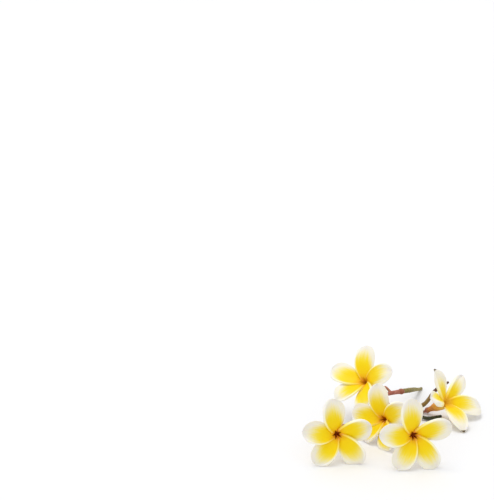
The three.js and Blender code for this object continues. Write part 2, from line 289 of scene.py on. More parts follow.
# ---------------------------------------------------------------- finishes
@dataclass(frozen=True)
class PetalFace:
    """The upper side of a fresh plumeria petal: fleshy, waxy tissue, satin and a little translucent.

    Its colour follows the petal. A rich yellow heart narrows outwards like a flame and fades into cream
    along fine lengthwise streaks. The raised edge is a pale band that turns orange where it runs into
    the throat: partly the margin's own paler colour and partly painted highlight, where the rolled
    margin catches the light. Between two bands the throat has a dark red-brown arm, or is golden all
    over. Shares are of the petal's length.
    """

    name: str = "waxy_petal_face"
    heart: tuple = (
        (0.0, "#B85400"),
        (0.08, "#DE9000"),
        (0.14, "#F0BA00"),
        (0.24, "#F5D000"),
        (0.55, "#F3D600"),
        (1.0, "#F2DE40"),
    )
    fading: tuple = ((0.0, "#F1D51C"), (0.3, "#F3DF62"), (0.6, "#F1E6A6"), (1.0, "#F0EAD8"))
    # Colours of the pale raised-edge band: partly the margin's own, partly painted highlight where the
    # rolled margin catches the light.
    raised_edge_and_highlight: tuple = (
        (0.0, "#6A1806"),
        (0.035, "#C86420"),
        (0.07, "#F8B050"),
        (0.11, "#FCD450"),
        (0.23, "#FCE66C"),
        (0.36, "#FBF2AC"),
        (0.52, "#FAF5DC"),
        (1.0, "#F2EEE8"),
    )
    arm: str = "#6A1400"
    gold: str = "#EEC02C"  # the throat of a bloom without dark arms
    gold_weight: float = 0.75
    gold_ends: tuple[float, float] = (0.08, 0.2)  # shares between which the golden throat fades out
    tip: str = "#E6E2DA"
    tip_start: float = 0.78
    tip_weight: float = 0.6
    dry_tip: str = "#5E4C30"
    dry_ends: tuple[float, float] = (0.93, 0.96)  # shares between which a browned tip begins
    lead_fade: tuple[float, float] = (1.4, -0.85)  # slope and start of the cream at the raised edge
    tuck_fade: tuple[float, float] = (-1.45, 0.73)  # the same at the tucked edge
    fade_ends: tuple[float, float] = (0.36, 1.0)  # shares between which yellow turns to cream
    ragged: float = 0.3  # how far the streaks pull the cream in and out
    tone_shift: float = 0.06  # how far one step of a petal's tone moves the cream inwards
    vein_spacing: float = 0.9  # mm, coarser than the real 0.4 mm so that it shows
    petal_length: float = 36.0  # mm, a usual petal
    petal_width: float = 24.0
    vein_depth: float = 0.05
    relief: float = 0.6
    edge_width: float = 2.8  # mm of pale band along the raised edge, partly painted highlight
    arm_width: float = 1.6  # mm from the middle of a dark arm to its side, at the throat
    arm_length: float = 4.8
    arm_lean: float = 0.3  # mm that an arm leans aside in each mm of its length

    def build(self) -> bpy.types.Material:
        """Builds the material.

        Returns:
            The material.
        """
        material, tree, shader = start_material(self.name, Roughness=0.4, **PETAL_TISSUE)
        uv = add_node(tree, "ShaderNodeUVMap", uv_map="petal")
        across = add_node(tree, "ShaderNodeSeparateXYZ", {0: uv}, output=1)
        span = add_node(tree, "ShaderNodeAttribute", output=1, attribute_name="span")
        along = add_node(tree, "ShaderNodeSeparateXYZ", {0: span})
        beside, inside = along.node.outputs[1], along.node.outputs[2]
        tone, dry, throat = (
            add_node(tree, "ShaderNodeAttribute", output=2, attribute_name=mark) for mark in MARKS
        )
        veins = draw_veins(tree, along, across, tone, self.petal_width / self.vein_spacing)

        # The heart, and the cream that closes in on it from both edges and from the tip.
        heart = add_node(tree, "ShaderNodeValToRGB", {0: along}, stops=self.heart)
        edges = [
            add_node(tree, "ShaderNodeMath", {0: across, 1: slope, 2: start}, operation="MULTIPLY_ADD")
            for slope, start in (self.lead_fade, self.tuck_fade)
        ]
        spread = add_node(tree, "ShaderNodeMath", dict(enumerate(edges)), operation="MAXIMUM")
        reach = along
        for share, weight in ((spread, spread), (veins, self.ragged), (tone, self.tone_shift)):
            more = {0: share, 1: weight, 2: reach}
            reach = add_node(tree, "ShaderNodeMath", more, operation="MULTIPLY_ADD")
        low, high = (end + 0.5 * self.ragged for end in self.fade_ends)
        ends = {0: reach, 1: low, 2: high}
        fade = add_node(tree, "ShaderNodeMapRange", ends, interpolation_type="SMOOTHSTEP")
        cream = add_node(tree, "ShaderNodeValToRGB", {0: fade}, stops=self.fading)

        # The dark arm, a wedge that leans towards the raised edge.
        lean = {0: along, 1: -self.arm_lean * self.petal_length, 2: beside}
        arm = add_node(tree, "ShaderNodeMath", lean, operation="MULTIPLY_ADD")
        arm = add_node(tree, "ShaderNodeMath", {0: arm}, operation="ABSOLUTE")
        taper = {0: along, 1: self.petal_length * self.arm_width / self.arm_length, 2: arm}
        arm = add_node(tree, "ShaderNodeMath", taper, operation="MULTIPLY_ADD")
        side = {0: arm, 1: 0.85 * self.arm_width, 2: 1.3 * self.arm_width, 3: 1.0, 4: 0.0}
        arm = add_node(tree, "ShaderNodeMapRange", side, interpolation_type="SMOOTHSTEP")
        arm = add_node(tree, "ShaderNodeMath", {0: arm, 1: throat}, operation="MULTIPLY")

        # The pale band along the raised edge: partly the margin's own paler colour, partly painted
        # highlight where the rolled margin catches the light.
        rolled = add_node(tree, "ShaderNodeValToRGB", {0: along}, stops=self.raised_edge_and_highlight)
        side = {0: inside, 1: 0.7 * self.edge_width, 2: 1.2 * self.edge_width, 3: 1.0, 4: 0.0}
        band_and_highlight = add_node(tree, "ShaderNodeMapRange", side, interpolation_type="SMOOTHSTEP")

        # The golden throat, in full where the throat is marked 0 and gone where it is half dark.
        light = {0: throat, 1: 0.0, 2: 0.5, 3: self.gold_weight, 4: 0.0}
        light = add_node(tree, "ShaderNodeMapRange", light)
        near = {0: along, 1: self.gold_ends[0], 2: self.gold_ends[1], 3: 1.0, 4: 0.0}
        near = add_node(tree, "ShaderNodeMapRange", near, interpolation_type="SMOOTHSTEP")
        gold = add_node(tree, "ShaderNodeMath", {0: light, 1: near}, operation="MULTIPLY")

        # The duller tip, and its browned end where the petal is marked dry.
        far = {0: along, 1: self.tip_start, 2: 1.0, 3: 0.0, 4: self.tip_weight}
        tip = add_node(tree, "ShaderNodeMapRange", far, interpolation_type="SMOOTHSTEP")
        end = add_node(tree, "ShaderNodeMath", {0: dry, 1: along}, operation="MULTIPLY")
        brown = {0: end, 1: self.dry_ends[0], 2: self.dry_ends[1]}
        brown = add_node(tree, "ShaderNodeMapRange", brown)

        layers = (
            (fade, cream),
            (arm, linear(self.arm)),
            # The raised-edge band, partly painted highlight.
            (band_and_highlight, rolled),
            (gold, linear(self.gold)),
            (tip, linear(self.tip)),
            (brown, linear(self.dry_tip)),
        )
        dress(tree, shader, lay_over(tree, heart, layers), veins, self.vein_depth, self.relief)
        return material


@dataclass(frozen=True)
class PetalBack:
    """The underside of a petal: the same satin tissue in cream, blushed orange-brown near the tube."""

    name: str = "blushed_petal_back"
    stops: tuple = (
        (0.0, "#C0743C"),
        (0.12, "#D29448"),
        (0.22, "#E8C06C"),
        (0.36, "#F4E4AC"),
        (0.58, "#F7F1DC"),
        (1.0, "#F4F1EC"),
    )
    lines: float = 20.0  # streaks side by side
    ragged: float = 0.16  # how far the streaks pull the blush in and out, as a share of the length
    vein_depth: float = 0.06

    relief: float = 0.6

    def build(self) -> bpy.types.Material:
        """Builds the material.

        Returns:
            The material.
        """
        material, tree, shader = start_material(self.name, Roughness=0.45, **PETAL_TISSUE)
        uv = add_node(tree, "ShaderNodeUVMap", uv_map="petal")
        along = add_node(tree, "ShaderNodeSeparateXYZ", {0: uv})
        across = along.node.outputs[1]
        tone = add_node(tree, "ShaderNodeAttribute", output=2, attribute_name="tone")
        veins = draw_veins(tree, along, across, tone, self.lines)
        pull = {0: veins, 1: self.ragged, 2: along}
        reach = add_node(tree, "ShaderNodeMath", pull, operation="MULTIPLY_ADD")
        reach = add_node(tree, "ShaderNodeMath", {0: reach, 1: 0.5 * self.ragged}, operation="SUBTRACT")
        colour = add_node(tree, "ShaderNodeValToRGB", {0: reach}, stops=self.stops)
        dress(tree, shader, colour, veins, self.vein_depth, self.relief)
        return material


@dataclass(frozen=True)
class TubeSkin(PetalBack):
    """The tube: the same tissue as the petal's back, darker outside, and dark red-brown in the throat."""

    name: str = "blushed_tube"
    stops: tuple = (
        (0.0, "#B9A25C"),
        (0.16, "#CE8348"),
        (0.4, "#D8903C"),
        (0.6, "#E6AC48"),
        (0.74, "#ECC24E"),
        (0.82, "#B86A2C"),
        (0.86, "#5C0E00"),
        (1.0, "#3A0A00"),
    )


# The same tube with a golden-brown inside, for the blooms that have no dark star in the throat.
GOLDEN_TUBE = TubeSkin(
    "golden_throat_tube",
    (
        (0.0, "#B9A25C"),
        (0.16, "#CE8348"),
        (0.4, "#D8903C"),
        (0.6, "#E6AC48"),
        (0.74, "#ECC24E"),
        (0.84, "#D08C28"),
        (0.9, "#B06818"),
        (1.0, "#7A3A08"),
    ),
)


@dataclass(frozen=True)
class StalkSkin:
    """The skin of a fleshy stalk: smooth and satin, streaked along its length, with small pale pores."""

    name: str
    base: str
    shade: str
    end: str = "#2A261A"
    end_start: float = 2.0  # share of the length where the end colour begins; past 1 it has none
    streaks: float = 0.0  # how strongly it is streaked
    roughness: float = 0.48
    mottle: float = 3.0  # mm across a patch
    pore: float = 0.5  # mm across a pore
    pore_colour: str = "#D9C9A4"
    wrinkle: float = 0.8  # mm across a wrinkle
    wrinkle_depth: float = 0.12
    knot: str = ""  # the colour of the swollen knot, where the skin has one
    knot_radius: float = 4.4
    lines: float = 14.0  # streaks side by side
    patch_ends: tuple[float, float] = (0.35, 0.65)  # noise heights where a blotch begins and is full
    streak_ends: tuple[float, float] = (0.42, 0.62)  # the same for a streak
    pore_ends: tuple[float, float] = (0.12, 0.2)  # a pore's middle and its edge, as shares of its cell
    pore_weight: float = 0.35
    end_fade: float = 0.12  # share of the length over which the end colour comes in
    relief: float = 0.5

    def build(self) -> bpy.types.Material:
        """Builds the material.

        Returns:
            The material.
        """
        material, tree, shader = start_material(
            self.name,
            Roughness=self.roughness,
            IOR=1.45,
            Specular_IOR_Level=0.3,
            Subsurface_Weight=0.08,
            Subsurface_Scale=0.001,
        )
        place = add_node(tree, "ShaderNodeTexCoord", output=3)
        uv = add_node(tree, "ShaderNodeUVMap", uv_map="petal")
        along = add_node(tree, "ShaderNodeSeparateXYZ", {0: uv})
        around = along.node.outputs[1]

        # Soft blotches.
        patch = {"Vector": place, "Scale": 1.0 / (self.mottle * MM), "Detail": 3.0}
        patch = add_node(tree, "ShaderNodeTexNoise", patch)
        ends = {0: patch, 1: self.patch_ends[0], 2: self.patch_ends[1]}
        patch = add_node(tree, "ShaderNodeMapRange", ends)
        layers = [(patch, linear(self.shade))]

        # Dark streaks, and the browner skin round the knot.
        if self.streaks:
            streak = draw_veins(tree, along, around, patch, self.lines)
            ends = {0: streak, 1: self.streak_ends[0], 2: self.streak_ends[1], 3: 0.0, 4: self.streaks}
            layers.append((add_node(tree, "ShaderNodeMapRange", ends), linear(self.end)))
        if self.knot:
            ends = {0: place, 1: Vector(KNOT) * MM}
            far = add_node(tree, "ShaderNodeVectorMath", ends, output=1, operation="DISTANCE")
            radius = self.knot_radius * MM
            ends = {0: far, 1: 0.75 * radius, 2: radius, 3: 1.0, 4: 0.0}
            layers.append((add_node(tree, "ShaderNodeMapRange", ends), linear(self.knot)))

        # Small pale pores, about three of their own widths apart, and the dark end.
        pores = {"Vector": place, "Scale": 1.0 / (3.0 * self.pore * MM)}
        pores = add_node(tree, "ShaderNodeTexVoronoi", pores)
        ends = {0: pores, 1: self.pore_ends[0], 2: self.pore_ends[1], 3: self.pore_weight, 4: 0.0}
        layers.append((add_node(tree, "ShaderNodeMapRange", ends), linear(self.pore_colour)))
        ends = {0: along, 1: self.end_start, 2: self.end_start + self.end_fade}
        dry = add_node(tree, "ShaderNodeMapRange", ends, interpolation_type="SMOOTHSTEP")
        layers.append((dry, linear(self.end)))

        wrinkles = {"Vector": place, "Scale": 1.0 / (self.wrinkle * MM), "Detail": 4.0}
        wrinkles = add_node(tree, "ShaderNodeTexNoise", wrinkles)
        colour = lay_over(tree, linear(self.base), layers)
        dress(tree, shader, colour, wrinkles, self.wrinkle_depth, self.relief)
        return material


class Skin(Enum):
    """The finishes of the stalks."""

    # Dusty pink young skin in soft blotches, with a browner knot.
    PINK = StalkSkin("pink_young_stalk", "#BC7C6C", "#9C5A4C", knot="#9C6048")
    # Thin green skin flushed with pink.
    PEDICEL = StalkSkin("green_pink_pedicel", "#A8804E", "#B0655A")
    # Older yellow-olive skin with dark lengthwise streaks and a dark cut end.
    OLIVE = StalkSkin("olive_stalk", "#A39440", "#83762C", "#3E3212", end_start=0.93, streaks=0.65)
    # Olive skin that turns brown from half its length on.
    BROWN = StalkSkin("browned_spur", "#857A3C", "#8E6430", "#5E3A1E", end_start=0.5, streaks=0.5)
    # Dark green skin, almost black at the tip: partly its own dark colour and partly painted shade, for
    # the shade under the right bloom where this spur lies.
    DARK_AND_SHADED = StalkSkin("dark_green_spur_and_painted_shade", "#474A2A", "#33351E", "#1A1812", end_start=0.82, streaks=0.6)


@dataclass
class Palette:
    """Builds each finish once and hands it out."""

    made: dict[str, bpy.types.Material] = field(default_factory=dict)

    def get(self, finish: PetalFace | PetalBack | StalkSkin) -> bpy.types.Material:
        """Hands out a finish's material, built at its first use.

        Args:
            finish: The finish.

        Returns:
            Its material.
        """
        if finish.name not in self.made:
            self.made[finish.name] = finish.build()
        return self.made[finish.name]


# ---------------------------------------------------------------- meshes
def start_mesh() -> bmesh.types.BMesh:
    """Starts a mesh with the map and the marks that the finishes read.

    Returns:
        The empty mesh.
    """
    mesh = bmesh.new()
    mesh.loops.layers.uv.new("petal")
    for mark in MARKS:
        mesh.verts.layers.float.new(mark)
    mesh.verts.layers.float_vector.new("span")
    return mesh


def add_sheet(
    mesh: bmesh.types.BMesh,
    columns: int,
    rows: int,
    place: Callable[[float, float], Vector],
    marks: dict[str, float] | None = None,
    span: Callable[[float, float], Vector] | None = None,
    close: bool = False,
) -> None:
    """Adds a grid and moves each of its points to where a formula puts it.

    Args:
        mesh: The mesh it goes into.
        columns: Its cells along.
        rows: Its cells across.
        place: Gives the point in millimetres for the shares along and across, from 0 to 1.
        marks: Numbers for the whole sheet, kept for its finish.
        span: Gives a point's share of the length, and how far in millimetres it lies beside the midrib
            and inside the raised edge, kept for its finish.
        close: Whether edges that meet are joined.
    """
    made = bmesh.ops.create_grid(mesh, x_segments=columns, y_segments=rows, size=1.0, calc_uvs=True)
    spans = mesh.verts.layers.float_vector["span"]
    for vert in made["verts"]:
        shares = ((vert.co.x + 1) / 2, (vert.co.y + 1) / 2)
        vert.co = place(*shares) * MM
        if span:
            vert[spans] = span(*shares)
        for name, value in (marks or {}).items():
            vert[mesh.verts.layers.float[name]] = value
    if close:
        bmesh.ops.remove_doubles(mesh, verts=made["verts"], dist=1e-6)


def rest(point: Vector, floor: float = FLOOR_GAP, softness: float = 0.5) -> Vector:
    """Bends a point up softly where it would dip below a height.

    Args:
        point: The point, in millimetres.
        floor: The height, in millimetres.
        softness: How far above the height it begins to bend, in millimetres.

    Returns:
        The point.
    """
    depth = (point.z - floor) / softness
    if depth < 12:  # higher up, the bend is too small to matter
        point.z = floor + softness * math.log1p(math.exp(depth))
    return point


def along_profile(profile: Sequence[Point], share: float) -> tuple[float, float]:
    """Finds the radius and the height at a share of a profile.

    Args:
        profile: Its corners, each with its share, its radius and its height.
        share: The share that is asked for.

    Returns:
        The radius and the height.
    """
    after = next(i for i in range(1, len(profile)) if share <= profile[i][0] + 1e-9)
    (s0, r0, z0), (s1, r1, z1) = profile[after - 1], profile[after]
    part = (share - s0) / (s1 - s0)
    return r0 + (r1 - r0) * part, z0 + (z1 - z0) * part


def finish_piece(
    mesh: bmesh.types.BMesh,
    name: str,
    materials: Sequence[bpy.types.Material],
    nodes: Sequence[str],
    thickness: float = 0.0,
    smoothing: int = 1,
) -> bpy.types.Object:
    """Turns a mesh into a finished piece of the cluster.

    Args:
        mesh: The mesh, in the row frame.
        name: The piece's name.
        materials: Its materials, the front's first.
        nodes: The CAD nodes that it stands for.
        thickness: The wall of an open sheet, in millimetres, or 0 for a closed mesh.
        smoothing: Levels of subdivision.

    Returns:
        The piece.
    """
    if not thickness:
        bmesh.ops.recalc_face_normals(mesh, faces=mesh.faces)
    data = bpy.data.meshes.new(name)
    mesh.to_mesh(data)
    mesh.free()
    data.polygons.foreach_set("use_smooth", [True] * len(data.polygons))
    piece = bpy.data.objects.new(name, data)
    bpy.context.scene.collection.objects.link(piece)
    for material in materials:
        data.materials.append(material)
    if thickness:
        wall = piece.modifiers.new("wall", "SOLIDIFY")
        wall.thickness = thickness * MM
        wall.offset = 0.0
        wall.material_offset = 1
        wall.material_offset_rim = 0
    if smoothing:
        surface = piece.modifiers.new("surface", "SUBSURF")
        surface.levels = surface.render_levels = smoothing
    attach(piece, ROOT_BODY)
    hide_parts(*nodes)
    log.info("%s: %d faces", name, len(data.polygons))
    return piece


# ---------------------------------------------------------------- petals
@dataclass(frozen=True)
class Petal:
    """One petal of a bloom.

    length is its length from the throat, turn its turn from its even place in degrees, lift how far
    its tip stands out of the bloom's flare, tilt how far it leans sideways, as a slope, width its share
    of the usual width, point how far its tip comes to a point, roll how far its raised edge is rolled
    back for its kind, pale how much paler it is than most, and dry whether its tip has browned.
    """

    length: float
    turn: float
    lift: float = 0.0
    tilt: float = 0.0
    width: float = 1.0
    point: float = 0.0
    roll: float = 1.0
    pale: float = 0.0
    dry: bool = False


@dataclass
class Bloom:
    """One open bloom: five petals that overlap like a pinwheel, and the tube that they run into.

    Its own frame has the throat at the origin, +Z where it looks and +Y towards its upper petal. Petals
    go round counter-clockwise. Each one's raised edge, at v = 1, lies over the next one's tucked edge.
    Lengths are in millimetres, angles in degrees and slopes in millimetres to a millimetre.
    """

    place: str
    centre: Point  # of the throat
    azimuth: float  # the way it looks, from -Y towards +X
    elevation: float  # how far up it looks
    roll: float
    rise: float  # how far the petals' tips stand in front of the throat
    openness: float  # the greater it is, the sooner they reach that height
    petals: tuple[Petal, ...]
    tube: float = TUBE_LENGTH
    tube_skin: TubeSkin = TubeSkin()  # chosen to go with how dark the throat is
    throat: float = 1.0  # how dark the arms of the throat are
    funnel: float = TUBE_NECK_RADIUS  # radius of the tube half-way up
    run: float = STRAIGHT_RUN
    lead_width: float = 12.2  # from the midrib to the raised edge
    tuck_width: float = 11.6  # from the midrib to the tucked edge
    slope: float = 0.34  # how far the blades lean sideways, which lays each over the next
    throat_slope: float = 0.3  # what they lean more at the throat
    cup: float = 0.012  # how strongly the raised half curls forwards
    roll_length: float = 2.6  # width of the raised edge that is rolled back
    roll_radius: float = 1.5
    ridge: float = 0.55  # how far the fold before it stands out
    tip_droop: float = 1.2
    root_depth: float = 5.0  # how deep in the throat the petals begin
    thickness: float = 0.6
    sway: float = 1.6  # mm that a petal's blade waves in front of and behind its even shape
    ruffle: float = 0.35  # mm that its edges wave
    columns: int = 56
    rows: int = 34
    seed: int = 0
    first: float = 0.012  # where the petal's root begins, as a share of its length
    last: float = 0.997

    def pose(self) -> Matrix:
        """Works out where the bloom is and how it is turned.

        Returns:
            The matrix from the bloom's own frame to the row frame, in millimetres.
        """
        azimuth, elevation = math.radians(self.azimuth), math.radians(self.elevation)
        facing = Vector(
            (
                math.sin(azimuth) * math.cos(elevation),
                -math.cos(azimuth) * math.cos(elevation),
                math.sin(elevation),
            )
        )
        right = Vector((0, 0, 1)).cross(facing).normalized()
        up = facing.cross(right)
        turned = Matrix((right, up, facing)).transposed().to_4x4()
        return Matrix.Translation(self.centre) @ turned @ Matrix.Rotation(math.radians(self.roll), 4, "Z")

    def direction(self, index: int) -> float:
        """Returns the angle of a petal's midrib round the bloom, in radians."""
        return math.radians(90 + 360 / len(self.petals) * index + self.petals[index].turn)

    def width(self, u: float, petal: Petal, lead: bool) -> float:
        """Works out the width from the midrib to an edge.

        Args:
            u: Share of the length.
            petal: The petal.
            lead: Whether it is the raised edge and not the tucked one.

        Returns:
            The width, in millimetres.
        """
        tip = TIP_BLUNT + TIP_POINT * petal.point
        if lead:
            narrow = min(1.0, u / 0.05) ** 0.6
            return petal.width * self.lead_width / LEAD_PEAK * u**0.5 * (1 - u**2) ** tip * narrow
        return petal.width * self.tuck_width / TUCK_PEAK * u**0.7 * (1 - u**2.6) ** tip

    def height(self, u: float, y: float, petal: Petal) -> float:
        """Works out how far in front of the throat a point of the petal lies.

        Args:
            u: Share of the length.
            y: Distance beside the midrib, in millimetres, positive towards the raised edge.
            petal: The petal.

        Returns:
            The height, in millimetres.
        """
        flare = 1 - (1 - u) ** (1 + 1.3 * self.openness)
        root = self.root_depth * max(0.0, 1 - u / ROOT_SHARE) ** 2
        lean = petal.tilt + self.slope * (1 - u) ** 1.2 + self.throat_slope * math.exp(-u / 0.15)
        curl = self.cup * y * y if y > 0 else 0.0
        return (self.rise + petal.lift) * flare - root + lean * y + curl - self.tip_droop * u**5

    def petal_point(self, u: float, v: float, petal: Petal, wave: float) -> Vector:
        """Works out a point of the petal before it is turned to its place.

        Args:
            u: Share of the length.
            v: Place across, from -1 at the tucked edge to 1 at the raised edge.
            petal: The petal.
            wave: A number that sets this petal's own gentle waves.

        Returns:
            The point, in millimetres.
        """
        edge = self.width(u, petal, v > 0)
        y = v * edge
        drop = 0.0
        if v > 0:
            grown = smooth(0.02, ROOT_SHARE, u)
            rolled = self.roll_length * petal.roll * grown * (1 - 0.6 * smooth(0.6, 0.95, u))
            start = edge - rolled
            crest = (y - start) / (0.55 * self.roll_length)
            drop = -self.ridge * math.exp(-crest * crest) * grown * (1 - u**6)
            if rolled > 0 and y > start:
                radius = self.roll_radius * petal.roll
                angle = (y - start) / radius
                y = start + radius * math.sin(angle)
                drop += radius * (1 - math.cos(angle))
        sway = noise.noise(Vector((2.2 * u + wave, 1.3 * v, wave))) * self.sway * smooth(0.15, 0.9, u)
        ruffle = self.ruffle * math.sin(9.0 * u + 7.0 * wave) * v * v * smooth(0.3, 0.9, u)
        return Vector((u * petal.length, y, self.height(u, y, petal) - drop + sway + ruffle))

    def underside(self, radius: float, angle: float) -> float:
        """Finds the height of the lowest petal over a point near the throat.

        Args:
            radius: The point's distance from the bloom's axis.
            angle: Its angle round the axis, in radians.

        Returns:
            The height, in millimetres.
        """
        heights = []
        for index, petal in enumerate(self.petals):
            beside = angle - self.direction(index)
            x, y = radius * math.cos(beside), radius * math.sin(beside)
            u = x / petal.length
            if u > self.first and -self.width(u, petal, False) <= y <= self.width(u, petal, True):
                heights.append(self.height(u, y, petal))
        return min(heights) if heights else 0.0

    def station(self, share: float) -> float:
        """Returns the share of a petal's length where a share of its rows lies, closer at both ends."""
        return self.first + (self.last - self.first) * (0.5 - 0.5 * math.cos(math.pi * share**0.9))

    def build_petals(self, palette: Palette) -> bpy.types.Object:
        """Builds the five petals.

        Args:
            palette: The finishes.

        Returns:
            The petals, as one piece.
        """
        mesh = start_mesh()
        pose = self.pose()
        chance = random.Random(self.seed)
        for index, petal in enumerate(self.petals):
            wave = chance.uniform(0, 50)
            turned = pose @ Matrix.Rotation(self.direction(index), 4, "Z")

            def place(s: float, t: float) -> Vector:
                """Returns the petal's point at the shares along and across."""
                point = self.petal_point(self.station(s), 2 * t - 1, petal, wave)
                return rest(turned @ point, 0.5 * self.thickness + FLOOR_GAP)

            def span(s: float, t: float) -> Vector:
                """Works out what the finish is told about the petal's point.

                Args:
                    s: Share of the rows along the petal.
                    t: Share across it, from the tucked edge.

                Returns:
                    Its share of the length, and its distances beside the midrib and inside the edge.
                """
                u, v = self.station(s), 2 * t - 1
                edge = self.width(u, petal, True)
                beside = v * (edge if v > 0 else self.width(u, petal, False))
                return Vector((u, beside, (edge - beside) / petal.roll))

            tone = chance.uniform(-1, 1) + petal.pale
            marks = {"tone": tone, "dry": float(petal.dry), "throat": self.throat}
            add_sheet(mesh, self.columns, self.rows, place, marks, span)
        materials = [palette.get(PetalFace()), palette.get(PetalBack())]
        return finish_piece(
            mesh, f"petals_{self.place}", materials, [f"corolla_{self.place}"], self.thickness
        )

    def build_tube(self, palette: Palette) -> bpy.types.Object:
        """Builds the tube, whose mouth meets the underside of the petals all round.

        Args:
            palette: The finishes.

        Returns:
            The tube.
        """
        pose = self.pose()
        mouth = max(TUBE_MOUTH_RADIUS, 1.3 * self.funnel)
        outside = (
            (0.0, 0.0, 0.0),
            (0.04, 0.8 * TUBE_FOOT_RADIUS, 0.0),
            (0.07, TUBE_FOOT_RADIUS, 0.3),
            (0.26, TUBE_NECK_RADIUS, 0.28 * self.tube),
            (0.45, self.funnel, 0.5 * self.tube),
            (0.66, max(0.65 * mouth, 1.2 * self.funnel), 0.8 * self.tube),
            (0.76, 0.88 * mouth, 0.95 * self.tube),
        )

        def place(s: float, t: float) -> Vector:
            """Works out a point of the tube.

            Args:
                s: Share along its profile, from the foot.
                t: Share round it.

            Returns:
                The point, in millimetres.
            """
            angle = 2 * math.pi * t
            rim = (0.84, mouth, self.tube + self.underside(mouth, angle))
            narrow = (0.9, 0.5 * mouth, self.tube - THROAT_NARROWS)
            floor = (1.0, 0.0, self.tube - THROAT_FLOOR)
            radius, height = along_profile((*outside, rim, narrow, floor), s)
            radius *= 1 + TUBE_FLUTING * math.cos(LOBES * angle) * smooth(0.07, 0.3, s)
            point = Vector((radius * math.cos(angle), radius * math.sin(angle), height - self.tube))
            return rest(pose @ point)

        mesh = start_mesh()
        add_sheet(mesh, *TUBE_CELLS, place, close=True)
        return finish_piece(
            mesh, f"tube_{self.place}", [palette.get(self.tube_skin)], [f"corolla_{self.place}"]
        )

    def behind(self, distance: float) -> Point:
        """Returns the point on the bloom's axis that lies a distance behind its throat."""
        return tuple(self.pose() @ Vector((0, 0, -distance)))

    def build_calyx(self, palette: Palette) -> bpy.types.Object:
        """Builds the small green cup with five blunt lobes that holds the foot of the tube.

        Args:
            palette: The finishes.

        Returns:
            The cup.
        """
        pose = self.pose()
        foot = -self.tube - FIT_GAP

        def place(s: float, t: float) -> Vector:
            """Works out a point of the cup.

            Args:
                s: Share along its profile, from the foot.
                t: Share round it.

            Returns:
                The point, in millimetres.
            """
            angle = 2 * math.pi * t
            top = foot + CALYX_HEIGHT + CALYX_LOBE * (0.5 + 0.5 * math.cos(LOBES * angle))
            wall = (
                (0.0, 0.0, foot - CALYX_FOOT),
                (0.1, 1.1, foot - CALYX_FOOT),
                (0.3, 2.2, foot - 0.9),
                (0.45, CALYX_RADIUS, foot + 0.3),
                (0.62, CALYX_RADIUS - 0.15, top - 0.5),
                (0.7, CALYX_RADIUS - 0.35, top),
                (0.78, CALYX_RADIUS - 0.6, top - 0.4),
                (0.9, TUBE_FOOT_RADIUS + 0.15, foot + 0.2),
                (1.0, 0.0, foot),
            )
            radius, height = along_profile(wall, s)
            point = Vector((radius * math.cos(angle), radius * math.sin(angle), height))
            return rest(pose @ point)

        mesh = start_mesh()
        add_sheet(mesh, *CALYX_CELLS, place, close=True)
        return finish_piece(
            mesh,
            f"calyx_{self.place}",
            [palette.get(Skin.PEDICEL.value)],
            [f"pedicel_{self.place}"],
        )


